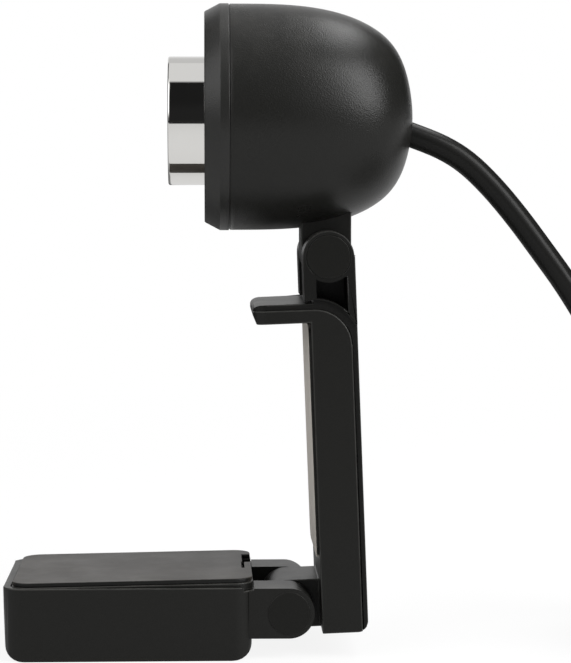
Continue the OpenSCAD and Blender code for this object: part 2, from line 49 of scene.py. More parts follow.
# %% [markdown]
# ## Camera
#
# The camera stands level with the head, 0.38 m away, and looks a little down and to the right. A
# long lens keeps the sides of the foot nearly parallel. The aim is given as two turns, because a
# camera with no roll shows the object standing straight.

# %% Camera
CAMERA_AT = Vector((12.1, -385.0, 77.0)) * MM
CAMERA_YAW = math.radians(1.91)
CAMERA_PITCH = math.radians(-3.96)
LENS_LENGTH = 130.64
SENSOR_WIDTH = 36.0

camera_data = bpy.data.cameras.new("camera")
camera_data.lens = LENS_LENGTH
camera_data.sensor_width = SENSOR_WIDTH
camera_data.clip_start = 0.01
camera = bpy.data.objects.new("camera", camera_data)
camera.location = CAMERA_AT
look = Vector((math.sin(CAMERA_YAW) * math.cos(CAMERA_PITCH),
               math.cos(CAMERA_YAW) * math.cos(CAMERA_PITCH), math.sin(CAMERA_PITCH)))
camera.rotation_euler = look.to_track_quat("-Z", "Y").to_euler()
bpy.context.scene.collection.objects.link(camera)
bpy.context.scene.camera = camera
bpy.context.scene.view_settings.view_transform = "Standard"
print("camera looks along", tuple(round(v, 3) for v in look))

# %% [markdown]
# ## The lead's route
#
# A webcam lead is a soft round cable of a fixed length. It could be simulated, but a lead that
# leaves one point and ends in a tied coil has only one free stretch, so its line is drawn through a
# few listed points and a smooth curve joins them. The coil is computed by a loop: turn beside
# turn, layer on layer, about one diameter apart.

# %% Route of the free lead
CURVE_STEPS = 4
DOWN_FROM_HEAD = [
    (42, 0, 82.8), (45, 0, 81.8), (50, 0, 79.8), (54, 0, 77.3), (58, 0, 73.5), (62, 0, 68.8),
    (66, 0, 63.5), (70, 0.2, 58), (73.7, 1.2, 52.3), (77.2, 3.4, 46.3), (80.6, 6.2, 40),
    (84, 9.2, 33.5), (87.8, 12.2, 26.8), (92.2, 14.6, 20.4), (97.6, 15.8, 15.9), (104, 16, 14)]
TO_THE_PLUG = [
    (104, 16, 2), (109, 16, 2), (114, 16, 2), (120, 16, 2), (126, 15.9, 2), (131.4, 14.9, 2),
    (135.9, 11.9, 2), (138.9, 7.4, 2), (140, 2, 2)]


def through(points, steps):
    """A smooth line through the points, with that many steps from each to the next."""
    p = [Vector(q) for q in points]
    line = []
    for k in range(len(p) - 1):
        a, b, c, d = p[max(k - 1, 0)], p[k], p[k + 1], p[min(k + 2, len(p) - 1)]
        for i in range(steps):
            t = i / steps
            line.append(0.5 * (2 * b + (c - a) * t + (2 * a - 5 * b + 4 * c - d) * t * t
                               + (3 * b - 3 * c + d - a) * t ** 3))
    return line + [p[-1]]


lead_down = through(DOWN_FROM_HEAD, CURVE_STEPS)
lead_end = through(TO_THE_PLUG, CURVE_STEPS)
print(f"free lead: {len(lead_down)} points down from the head, {len(lead_end)} to the plug")

# %% Turns of the stored coil
COIL_RADIUS = 20.0
TURN_GAP = 4.1
LAYER_HEIGHT = 4.0
LAYERS = 4
LAYER_TURNS = 2.75
LAYER_CHANGE = 0.03     # the share of a layer in which the lead steps to the next one
COIL_OUT = COIL_RADIUS + TURN_GAP * LAYER_TURNS / 2
COIL_CENTRE = (104.0, 16.0 - COIL_OUT)


def coil_point(turn):
    """Centre of the lead after that many turns, clockwise from the top layer's outer edge."""
    layer = min(int(turn / LAYER_TURNS), LAYERS - 1)
    along = turn / LAYER_TURNS - layer
    inward = along if layer % 2 == 0 else 1 - along
    radius = COIL_OUT - TURN_GAP * LAYER_TURNS * inward
    step = 0.0
    if layer < LAYERS - 1 and along > 1 - LAYER_CHANGE:
        step = 0.5 * (1 - (1 - along) / LAYER_CHANGE) ** 2
    if layer > 0 and along < LAYER_CHANGE:
        step = -0.5 * (1 - along / LAYER_CHANGE) ** 2
    height = LAYER_HEIGHT * (LAYERS - 0.5 - layer - step)
    angle = math.radians(90 - 360 * turn)
    return Vector((COIL_CENTRE[0] + radius * math.cos(angle),
                   COIL_CENTRE[1] + radius * math.sin(angle), height))


TURN_STEPS = 40
turns = LAYERS * LAYER_TURNS
coil_line = [coil_point(i / TURN_STEPS) for i in range(1, int(turns * TURN_STEPS))]
lead_line = lead_down + coil_line + lead_end

# %% [markdown]
# ## The lead itself
#
# The jacket is a round tube of soft plastic. A curve with a round bevel would do, but a mesh built
# ring by ring gives closed ends and an even count of faces. Each ring keeps the direction of the
# ring before it, so that the tube doesn't twist.

# %% A tube along a line
def placed(name, work):
    """Turns a finished bmesh into an object of that name in the scene."""
    mesh = bpy.data.meshes.new(name)
    work.to_mesh(mesh)
    work.free()
    made = bpy.data.objects.new(name, mesh)
    bpy.context.scene.collection.objects.link(made)
    return made


def tube(name, line, radius, sides):
    """A round tube along a line of points in millimetres, closed at both ends."""
    points = [Vector(p) * MM for p in line]
    work = bmesh.new()
    rings = []
    side = None
    for k, point in enumerate(points):
        run = (points[min(k + 1, len(points) - 1)] - points[max(k - 1, 0)]).normalized()
        side = run.orthogonal() if side is None else side - run * side.dot(run)
        side.normalize()
        up = run.cross(side)
        rings.append([work.verts.new(point + radius * (side * math.cos(t) + up * math.sin(t)))
                      for t in (2 * math.pi * i / sides for i in range(sides))])
    for first, second in zip(rings, rings[1:]):
        for i in range(sides):
            n = (i + 1) % sides
            work.faces.new((first[i], first[n], second[n], second[i]))
    work.faces.new(rings[0][::-1])
    work.faces.new(rings[-1])
    return placed(name, work)


LEAD_DIAMETER = 4 * MM
lead = tube("lead", lead_line, LEAD_DIAMETER / 2, 20)
lead.data.polygons.foreach_set("use_smooth", [True] * len(lead.data.polygons))
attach(lead, "head")
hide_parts("cable", "cable_coil")
print("lead:", len(lead.data.polygons), "faces")

# %% [markdown]
# ## Studio
#
# A product of black plastic is shown on a pale sweep: most of its form is read from what it
# reflects. The floor could be a plain white plane, but lamps that are right for black plastic
# leave it grey. So its paper is a mixture: it glows white where it is seen directly, and takes a
# share of the light and shadow near the object.

# %% Helpers for nodes
def link(tree, source, target):
    tree.links.new(source, target)


def add(tree, kind, settings=(), **links):
    """Adds a node, sets its properties, and connects or fills the sockets given by position."""
    node = tree.nodes.new(kind)
    for key, value in dict(settings).items():
        setattr(node, key, value)
    for key, value in links.items():
        socket = node.inputs[int(key[1:])]
        if isinstance(value, bpy.types.NodeSocket):
            link(tree, value, socket)
        else:
            socket.default_value = value
    return node


def math_node(tree, operation, *values):
    """The result of one calculation on numbers or sockets."""
    links = {f"_{i}": value for i, value in enumerate(values)}
    return add(tree, "ShaderNodeMath", {"operation": operation}, **links).outputs[0]


def product(tree, first, *others):
    """The product of numbers or sockets."""
    result = first
    for value in others:
        result = math_node(tree, "MULTIPLY", result, value)
    return result


def ramp(tree, value, low, high, at_low, at_high):
    """A smooth change from one number to another while the value goes from low to high."""
    node = add(tree, "ShaderNodeMapRange", {"interpolation_type": "SMOOTHSTEP"},
               _0=value, _1=low, _2=high, _3=at_low, _4=at_high)
    return node.outputs[0]


def ray_kinds(tree):
    """Two sockets: 1 for what is seen directly or through glass, and 1 for what a gloss sees."""
    rays = add(tree, "ShaderNodeLightPath").outputs
    plain = math_node(tree, "MAXIMUM", rays["Is Camera Ray"], rays["Is Transmission Ray"])
    return plain, rays["Is Glossy Ray"]


# %% Floor
FLOOR_RADIUS = 12.0
work = bmesh.new()
bmesh.ops.create_circle(work, cap_ends=True, segments=96, radius=FLOOR_RADIUS)
floor = placed("floor", work)

# Seen directly, the paper is white and keeps a trace of its shading. Gloss sees it a little grey,
# and nearly black from the camera's stand forwards
SLIT_X = 0.0075
PAPER_LEVEL = 0.7
# How much of the gloss level stays in the painted dark patches behind the head
PAINTED_DARK_SHARE = 0.12
paper = bpy.data.materials.new("pale_floor")
paper.use_nodes = True
tree = paper.node_tree
tree.nodes.clear()
plain_ray, glossy_ray = ray_kinds(tree)
spot = add(tree, "ShaderNodeTexCoord").outputs["Object"]
spot_xyz = add(tree, "ShaderNodeSeparateXYZ", {}, _0=spot).outputs
spot_x, spot_y = spot_xyz["X"], spot_xyz["Y"]
distance = add(tree, "ShaderNodeVectorMath", {"operation": "LENGTH"}, _0=spot).outputs["Value"]
seen = math_node(tree, "MAXIMUM", plain_ray, glossy_ray)
whiteness = product(tree, seen, ramp(tree, distance, 0.1, 0.45, 0.88, 1.0))
# Behind the head, in two patches a slit apart under the ring, gloss sees the paper darker: painted
# dark reflections that keep the head's undersides dark
off_slit = math_node(tree, "ABSOLUTE", math_node(tree, "SUBTRACT", spot_x, SLIT_X))
beside_slit = ramp(tree, off_slit, 0.005, 0.009, 0.0, 1.0)
behind = ramp(tree, spot_y, 0.0, 0.05, 0.0, 1.0)
up_to_dome = ramp(tree, spot_x, 0.045, 0.07, 1.0, 0.0)
painted_dark_patch = product(tree, beside_slit, behind, up_to_dome)
gloss_level = product(tree, ramp(tree, spot_y, -0.86, -0.74, 0.02, PAPER_LEVEL),
                      ramp(tree, painted_dark_patch, 0.0, 1.0, 1.0, PAINTED_DARK_SHARE))
glow_level = math_node(tree, "MAXIMUM", plain_ray, gloss_level)
diffuse = add(tree, "ShaderNodeBsdfDiffuse", {}, _0=(0.85, 0.85, 0.85, 1)).outputs[0]
glow = add(tree, "ShaderNodeEmission", {}, _1=glow_level).outputs[0]
mixed = add(tree, "ShaderNodeMixShader", {}, _0=whiteness, _1=diffuse, _2=glow).outputs[0]
add(tree, "ShaderNodeOutputMaterial", {}, _0=mixed)
floor.data.materials.append(paper)
print("floor:", 2 * FLOOR_RADIUS, "m across")

# %% [markdown]
# ### The room
#
# A gloss shows the room: a white sweep behind the object, a pale ceiling, a pale wall on each side
# of the camera, and black elsewhere. Real walls could stand there, but they would get in the way
# of a camera that looks from another side. A gloss sees little more than a direction, so the room
# is drawn on the world by the height of a direction and its turn from straight behind, in radians.

# %% World
world = bpy.data.worlds.new("studio")
world.use_nodes = True
bpy.context.scene.world = world
tree = world.node_tree
tree.nodes.clear()
plain_ray = ray_kinds(tree)[0]
heading = add(tree, "ShaderNodeTexCoord").outputs["Generated"]
parts = add(tree, "ShaderNodeSeparateXYZ", {}, _0=heading)
height = math_node(tree, "MAXIMUM", parts.outputs["Z"], 0.0)
across, ahead = parts.outputs["X"], parts.outputs["Y"]
turn = math_node(tree, "ABSOLUTE", math_node(tree, "ARCTAN2", across, ahead))
# A white sweep straight behind, a little wider to the left, and dark beside it
left = ramp(tree, across, -0.3, 0.3, 1.0, 0.0)
sweep_width = ramp(tree, math_node(tree, "MULTIPLY_ADD", left, -0.12, turn), 0.31, 0.43, 1.0, 0.02)
sweep_level = product(tree, sweep_width, ramp(tree, height, 0.25, 0.6, 1.0, 0.75))
# A pale ceiling, which ends a little in front of straight up
ceiling_front = math_node(tree, "MULTIPLY_ADD", height, 0.3, ahead)
ceiling = product(tree, ramp(tree, height, 0.72, 0.84, 0.0, 0.92),
                  ramp(tree, ceiling_front, -0.06, 0.04, 0.0, 1.0))
# Pale walls to the left and right of the camera, black right behind it, and none overhead
wall_turn = math_node(tree, "MULTIPLY_ADD", left, 0.3, turn)
walls = product(tree, ramp(tree, wall_turn, 1.9, 2.05, 0.0, 1.0),
                ramp(tree, turn, 2.5, 3.0, 1.0, 0.0), ramp(tree, left, 0.0, 1.0, 2.2, 2.7),
                ramp(tree, height, 0.03, 0.3, 0.1, 1.0), ramp(tree, height, 0.88, 0.96, 1.0, 0.0))
level = math_node(tree, "MAXIMUM", math_node(tree, "MAXIMUM", sweep_level, ceiling), walls)
room = add(tree, "ShaderNodeBackground", {}, _1=level).outputs[0]
white = add(tree, "ShaderNodeBackground", {}, _0=(1, 1, 1, 1), _1=1.0).outputs[0]
either = add(tree, "ShaderNodeMixShader", {}, _0=plain_ray, _1=room, _2=white).outputs[0]
add(tree, "ShaderNodeOutputWorld", {}, _0=either)
print("world:", len(tree.nodes), "nodes")

# %% [markdown]
# ### Lamps
#
# Two softboxes do what the room can't: they cast the soft shadow and draw the pale streak along
# the head. Many lamps would draw many streaks, and a black gloss shows each of them.

# %% Softboxes
def softbox(name, place, target, width, depth, power):
    """A rectangular soft lamp, facing the target or straight down, in metres and watts."""
    data = bpy.data.lights.new(name, "AREA")
    data.shape = "RECTANGLE"
    data.size = width
    data.size_y = depth
    data.energy = power
    lamp = bpy.data.objects.new(name, data)
    lamp.location = place
    if target:
        lamp.rotation_euler = (target - place).to_track_quat("-Z", "Y").to_euler()
    bpy.context.scene.collection.objects.link(lamp)
    return lamp


HEAD_MIDDLE = Vector((0.03, 0.0, 0.07))
softbox("top_softbox", HEAD_MIDDLE + Vector((0.29, 0.24, 0.70)), None,
        width=0.22, depth=0.62, power=2.2)
softbox("side_softbox", HEAD_MIDDLE + 0.6 * Vector((0.74, -0.47, 0.48)), HEAD_MIDDLE,
        width=0.27, depth=0.5, power=3.0)
print(len(bpy.data.lights), "lamps")

# %% [markdown]
# ## Finishes
#
# Every moulding carries the grain of its mould, is a little paler along its edges, and is paler in
# thin patches on faces that look up. The pale edges are partly wear and partly a painted highlight
# where rounded edges catch light; the pale tops are partly dust and partly a painted sheen. Each
# effect is a node group that puts out a mask or a
# height, and every material places the group with its own values. Image textures would need an
# unwrapped mesh; these effects need only the place on the object. The shader stays in the
# material, so that its constant values can be read from its own sockets.

# %% Helpers for node groups
def new_group(name, inputs, outputs):
    """An empty node group with named number sockets, and its input and output nodes."""
    group = bpy.data.node_groups.new(name, "ShaderNodeTree")
    for label, value in inputs:
        socket = group.interface.new_socket(label, in_out="INPUT", socket_type="NodeSocketFloat")
        socket.default_value = value
    for label in outputs:
        group.interface.new_socket(label, in_out="OUTPUT", socket_type="NodeSocketFloat")
    return group, group.nodes.new("NodeGroupInput"), group.nodes.new("NodeGroupOutput")


def noise(tree, scale, detail, where, rough=0.55):
    """Noise at a place, with that many spots to the metre."""
    node = add(tree, "ShaderNodeTexNoise")
    node.inputs["Detail"].default_value = detail
    node.inputs["Roughness"].default_value = rough
    link(tree, where, node.inputs["Vector"])
    if isinstance(scale, bpy.types.NodeSocket):
        link(tree, scale, node.inputs["Scale"])
    else:
        node.inputs["Scale"].default_value = scale
    return node.outputs["Fac"]


def use_group(tree, group, **values):
    """Places a node group in a material, with its values by name."""
    node = tree.nodes.new("ShaderNodeGroup")
    node.node_tree = group
    for label, value in values.items():
        node.inputs[label.replace("_", " ")].default_value = value
    return node


# %% Grain: rounded pits of the mould's etched face, in grains per metre
grain_group, grain_in, grain_out = new_group(
    "mould_grain", [("Grains", 3000.0)], ["Height", "Shine"])
place = add(grain_group, "ShaderNodeTexCoord").outputs["Object"]
cells = add(grain_group, "ShaderNodeTexVoronoi", {"feature": "SMOOTH_F1"})
link(grain_group, place, cells.inputs["Vector"])
link(grain_group, grain_in.outputs["Grains"], cells.inputs["Scale"])
fine = noise(grain_group, grain_in.outputs["Grains"], 2, place, 0.8)
blend_height = math_node(grain_group, "MULTIPLY_ADD", fine, 0.6, cells.outputs["Distance"])
link(grain_group, blend_height, grain_out.inputs["Height"])
patches = noise(grain_group, 90.0, 3, place)
link(grain_group, patches, grain_out.inputs["Shine"])

# %% Paler edges, from wear and a painted highlight: faces marked as rounded, or any convex part of a turned form, broken up by noise
wear_highlight_group, wear_highlight_in, wear_highlight_out = new_group(
    "worn_and_highlit_edges", [("Amount", 0.5), ("Breaks", 400.0), ("Turned", 0.0)], ["Mask"])
place = add(wear_highlight_group, "ShaderNodeTexCoord").outputs["Object"]
convex = add(wear_highlight_group, "ShaderNodeNewGeometry").outputs["Pointiness"]
edge = add(wear_highlight_group, "ShaderNodeMapRange", {}, _0=convex, _1=0.52, _2=0.62)
by_shape = product(wear_highlight_group, edge.outputs[0], wear_highlight_in.outputs["Turned"])
marked = add(wear_highlight_group, "ShaderNodeAttribute", {"attribute_name": "rounded"}).outputs["Fac"]
breaks = noise(wear_highlight_group, wear_highlight_in.outputs["Breaks"], 4, place)
worn_and_highlit = product(wear_highlight_group, math_node(wear_highlight_group, "MAXIMUM", by_shape, marked), breaks)
share = add(wear_highlight_group, "ShaderNodeMath", {"operation": "MULTIPLY", "use_clamp": True},
            _0=worn_and_highlit, _1=wear_highlight_in.outputs["Amount"])
link(wear_highlight_group, share.outputs[0], wear_highlight_out.inputs["Mask"])

# %% Dust and a painted sheen: thin pale patches on faces that look up
dust_sheen_group, dust_sheen_in, dust_sheen_out = new_group("dust_and_top_sheen", [("Amount", 0.3)], ["Mask"])
place = add(dust_sheen_group, "ShaderNodeTexCoord").outputs["Object"]
facing = add(dust_sheen_group, "ShaderNodeNewGeometry").outputs["Normal"]
upward = add(dust_sheen_group, "ShaderNodeSeparateXYZ", {}, _0=facing).outputs["Z"]
level = add(dust_sheen_group, "ShaderNodeMapRange", {}, _0=upward, _1=0.3, _2=1.0)
haze = noise(dust_sheen_group, 120.0, 5, place, 0.7)
thin = add(dust_sheen_group, "ShaderNodeMapRange", {}, _0=haze, _1=0.4, _2=0.75)
lies = product(dust_sheen_group, level.outputs[0], thin.outputs[0])
dust_sheen_mask = add(dust_sheen_group, "ShaderNodeMath", {"operation": "MULTIPLY", "use_clamp": True},
            _0=lies, _1=dust_sheen_in.outputs["Amount"])
link(dust_sheen_group, dust_sheen_mask.outputs[0], dust_sheen_out.inputs["Mask"])

# %% Tool lines: fine and parallel, as a lathe or a brush leaves them along X
line_group, line_in, line_out = new_group("tool_lines", [("Lines", 4000.0)], ["Height"])
place = add(line_group, "ShaderNodeTexCoord").outputs["Object"]
along_x = add(line_group, "ShaderNodeSeparateXYZ", {}, _0=place).outputs["X"]
combined = add(line_group, "ShaderNodeCombineXYZ", {}, _0=along_x)
streaks = noise(line_group, line_in.outputs["Lines"], 2, combined.outputs[0])
link(line_group, streaks, line_out.inputs["Height"])
print("node groups:", ", ".join(group.name for group in bpy.data.node_groups))

# %% [markdown]
# ### Moulded plastic and rubber
#
# One function makes all of them. The base colour turns paler along edges, for wear and a painted
# highlight, and on faces that look up, for dust and a painted sheen; the roughness wanders a little,
# and the grain is a bump, because its relief is far smaller than a face of the mesh. What differs
# from one material to the next is a handful of numbers.

# %% A moulded material
def new_material(name):
    """A new material, its node tree, and its shader."""
    made = bpy.data.materials.new(name)
    made.use_nodes = True
    return made, made.node_tree, made.node_tree.nodes["Principled BSDF"]


def mix_colour(tree, mask, first, second):
    """first where the mask is 0, second where it is 1; each is a colour or a socket."""
    node = tree.nodes.new("ShaderNodeMix")
    node.data_type = "RGBA"
    link(tree, mask, node.inputs["Factor"])
    for label, value in (("A", first), ("B", second)):
        socket = next(s for s in node.inputs if s.name == label and s.type == "RGBA")
        if isinstance(value, bpy.types.NodeSocket):
            link(tree, value, socket)
        else:
            socket.default_value = (*value, 1)
    return next(s for s in node.outputs if s.type == "RGBA")


def moulded(name, colour, wear_highlight_colour, roughness, grains, depth, wear_and_highlight=0.4, dust_and_sheen=0.15, wander=0.12,
            specular=0.22, dust_sheen_colour=(0.16, 0.155, 0.145), cut_sides=None, turned=0.0):
    """A moulded material: grains to the metre, and their depth in metres.

    cut_sides is the colour of faces that look across the part. turned is 1 for a swept form.
    """
    made, tree, skin = new_material(name)
    grain = use_group(tree, grain_group, Grains=grains)
    # Edges and upward faces turn paler: partly wear and dust, partly a painted highlight and a
    # painted sheen
    wear_highlight = use_group(tree, wear_highlight_group, Amount=wear_and_highlight, Turned=turned)
    dust_sheen = use_group(tree, dust_sheen_group, Amount=dust_and_sheen)
    base = mix_colour(tree, wear_highlight.outputs["Mask"], colour, wear_highlight_colour)
    base = mix_colour(tree, dust_sheen.outputs["Mask"], base, dust_sheen_colour)
    if cut_sides:
        facing = add(tree, "ShaderNodeNewGeometry").outputs["Normal"]
        across_part = add(tree, "ShaderNodeSeparateXYZ", {}, _0=facing).outputs["Y"]
        sideways = math_node(tree, "ABSOLUTE", across_part)
        base = mix_colour(tree, ramp(tree, sideways, 0.3, 0.7, 0.0, 1.0), base, cut_sides)
    link(tree, base, skin.inputs["Base Color"])
    rough = add(tree, "ShaderNodeMapRange", {}, _0=grain.outputs["Shine"], _1=0.3, _2=0.7,
                _3=roughness - wander / 2, _4=roughness + wander / 2)
    link(tree, rough.outputs[0], skin.inputs["Roughness"])
    bump = add(tree, "ShaderNodeBump")
    bump.inputs["Strength"].default_value = 1.0
    bump.inputs["Distance"].default_value = depth
    link(tree, grain.outputs["Height"], bump.inputs["Height"])
    link(tree, bump.outputs["Normal"], skin.inputs["Normal"])
    skin.inputs["Specular IOR Level"].default_value = specular
    return made


# %% Plastics and rubbers
shell_black = moulded("shell_black", (0.0105, 0.0105, 0.0096), (0.05, 0.05, 0.047),
                      roughness=0.29, grains=5000, depth=2.8e-5, wander=0.05, turned=1.0)
bezel_black = moulded("bezel_black", (0.009, 0.009, 0.0081), (0.05, 0.05, 0.047),
                      roughness=0.34, grains=5600, depth=2.2e-5, wander=0.05, specular=0.42,
                      turned=1.0)
# The stand's edges and tops are paler than the others': wear and dust, and also a painted highlight
# along its edges and a painted sheen on its tops
stand_black = moulded("stand_black", (0.008, 0.008, 0.0072), (0.045, 0.045, 0.042),
                      roughness=0.36, grains=5200, depth=1.4e-5, wear_and_highlight=0.9, dust_and_sheen=0.35, wander=0.03,
                      specular=0.19)
# The strap is a darker copy of the stand's plastic: painted shade, because its sides sit recessed
# and lie in shadow
strap_shaded_black = moulded("strap_shaded_black", (0.0055, 0.0055, 0.005), (0.04, 0.04, 0.037),
                      roughness=0.38, grains=5200, depth=1.4e-5, dust_and_sheen=0.5, wander=0.03,
                      specular=0.17)
cap_black = moulded("cap_black", (0.008, 0.008, 0.0072), (0.03, 0.03, 0.028),
                    roughness=0.36, grains=5200, depth=1.4e-5, wear_and_highlight=0.2, wander=0.03, specular=0.12)
# The arm pad's pale colour is a painted sheen for the grazing reflection on its front face; its
# sides, which look across, keep the rubber's dark
pad_painted_sheen = moulded("pad_painted_sheen", (0.47, 0.44, 0.40), (0.52, 0.49, 0.45),
                   roughness=0.62, grains=2600, depth=2.2e-5, dust_and_sheen=0.3,
                   cut_sides=(0.01, 0.01, 0.009))
pad_brown = moulded("pad_brown", (0.027, 0.0235, 0.020), (0.06, 0.055, 0.048),
                    roughness=0.42, grains=4200, depth=1.6e-5, dust_and_sheen=0.35, wander=0.06,
                    cut_sides=(0.004, 0.004, 0.0036))
lens_black = moulded("lens_black", (0.008, 0.008, 0.008), (0.03, 0.03, 0.03),
                     roughness=0.5, grains=5000, depth=8e-6, dust_and_sheen=0.05, turned=1.0)
rubber_black = moulded("rubber_black", (0.02, 0.02, 0.02), (0.05, 0.05, 0.05),
                       roughness=0.6, grains=3000, depth=1.5e-5)
jacket_black = moulded("jacket_black", (0.0095, 0.0095, 0.009), (0.02, 0.02, 0.02),
                       roughness=0.25, grains=2200, depth=8e-6, wear_and_highlight=0.2, dust_and_sheen=0.03, wander=0.06,
                       specular=0.1)
nylon_white = moulded("nylon_white", (0.72, 0.70, 0.64), (0.8, 0.78, 0.72),
                      roughness=0.45, grains=2500, depth=8e-6, dust_sheen_colour=(0.5, 0.48, 0.44))
chip_black = moulded("chip_black", (0.03, 0.03, 0.032), (0.07, 0.07, 0.07),
                     roughness=0.5, grains=6000, depth=1e-5)
wire_red = moulded("wire_red", (0.42, 0.03, 0.025), (0.5, 0.08, 0.07),
                   roughness=0.35, grains=2500, depth=5e-6)
print(len(bpy.data.materials) - 1, "moulded materials")

# %% [markdown]
# ### Metal
#
# Chrome plating is a smooth mirror: what makes it look real is a very faint haze of handling,
# which only the roughness shows. Steel pins and screws carry fine turned lines. A highlight that
# is stretched one way could stand for them, but a bump shows the lines themselves close up.

# %% Metals
def metal(name, colour, stained, roughness, lines, depth, wander=0.1):
    """A metal, a little darker where it is stained, with tool lines of that depth in metres."""
    made, tree, skin = new_material(name)
    turned = use_group(tree, line_group, Lines=lines)
    grain = use_group(tree, grain_group, Grains=900)
    base = mix_colour(tree, grain.outputs["Shine"], colour, stained)
    link(tree, base, skin.inputs["Base Color"])
    skin.inputs["Metallic"].default_value = 1.0
    rough = add(tree, "ShaderNodeMapRange", {}, _0=grain.outputs["Shine"], _1=0.35, _2=0.7,
                _3=roughness, _4=roughness + wander)
    link(tree, rough.outputs[0], skin.inputs["Roughness"])
    bump = add(tree, "ShaderNodeBump")
    bump.inputs["Strength"].default_value = 1.0
    bump.inputs["Distance"].default_value = depth
    link(tree, turned.outputs["Height"], bump.inputs["Height"])
    link(tree, bump.outputs["Normal"], skin.inputs["Normal"])
    return made


chrome = metal("chrome", (0.87, 0.862, 0.84), (0.82, 0.81, 0.785),
               roughness=0.035, lines=1500, depth=2e-7, wander=0.03)
steel = metal("steel", (0.52, 0.52, 0.53), (0.44, 0.44, 0.45),
              roughness=0.28, lines=6000, depth=1.5e-6)
plug_nickel = metal("plug_nickel", (0.66, 0.65, 0.63), (0.58, 0.57, 0.55),
                    roughness=0.2, lines=5000, depth=1e-6)
contact_gold = metal("contact_gold", (0.83, 0.6, 0.24), (0.76, 0.53, 0.2),
                     roughness=0.22, lines=5000, depth=1e-6)
print("metals:", ", ".join(m.name for m in (chrome, steel, plug_nickel, contact_gold)))

# %% [markdown]
# ### Glass and board
#
# The lens glass has a thin bluish coating, given as the tint of a coat. The board's tracks are the
# borders of random cells, which is quicker than a drawn layout and reads the same at this size.

# %% Glass and light pipe
def clear(name, colour, ior, roughness, coat):
    """A clear material, with a bluish coat of that weight."""
    made, tree, skin = new_material(name)
    grain = use_group(tree, grain_group, Grains=700)
    skin.inputs["Base Color"].default_value = (*colour, 1)
    skin.inputs["IOR"].default_value = ior
    skin.inputs["Transmission Weight"].default_value = 1.0
    skin.inputs["Coat Weight"].default_value = coat
    skin.inputs["Coat Tint"].default_value = (0.55, 0.75, 1.0, 1)
    rough = add(tree, "ShaderNodeMapRange", {}, _0=grain.outputs["Shine"], _1=0.3, _2=0.8,
                _3=roughness, _4=roughness + 0.02)
    link(tree, rough.outputs[0], skin.inputs["Roughness"])
    return made


lens_glass = clear("lens_glass", (0.92, 0.96, 1.0),
                   ior=1.6, roughness=0.0, coat=0.6)
filter_glass = clear("filter_glass", (0.55, 0.8, 0.85),
                     ior=1.5, roughness=0.0, coat=0.3)
clear_pipe = clear("clear_pipe", (0.93, 0.95, 0.97),
                   ior=1.49, roughness=0.08, coat=0.0)
print("clear:", ", ".join(m.name for m in (lens_glass, filter_glass, clear_pipe)))

# %% Board
board_green, tree, skin = new_material("board_green")
place = add(tree, "ShaderNodeTexCoord").outputs["Object"]
tracks = add(tree, "ShaderNodeTexVoronoi", {"feature": "DISTANCE_TO_EDGE"})
tracks.inputs["Scale"].default_value = 420
link(tree, place, tracks.inputs["Vector"])
track_mask = add(tree, "ShaderNodeMapRange", {}, _0=tracks.outputs["Distance"], _1=0.03, _2=0.06)
link(tree, mix_colour(tree, track_mask.outputs[0], (0.03, 0.2, 0.09), (0.01, 0.085, 0.035)),
     skin.inputs["Base Color"])
skin.inputs["Roughness"].default_value = 0.3
board_bump = add(tree, "ShaderNodeBump")
board_bump.inputs["Distance"].default_value = 2e-5
link(tree, track_mask.outputs[0], board_bump.inputs["Height"])
link(tree, board_bump.outputs["Normal"], skin.inputs["Normal"])
print(len(bpy.data.materials), "materials")

# %% [markdown]
# ## Rounded mouldings
#
# The solids have knife-sharp edges, which no moulding has: light catches on a radius of one or two
# tenths of a millimetre. Each moulding could be drawn again from scratch, but its solid already is
# an exact blank. So its mesh is copied, its flat triangles are merged into whole faces, and a
# bevel rounds the edges that turn by more than 30 degrees.

# %% Round the edges of a solid
def finish_shading(piece, angle):
    """Smooth shading, with a sharp line where faces meet at more than that angle, in degrees."""
    mesh = piece.data
    mesh.polygons.foreach_set("use_smooth", [True] * len(mesh.polygons))
    mesh.set_sharp_from_angle(angle=math.radians(angle))


FLAT = math.radians(0.6)
SHARP = math.radians(30)


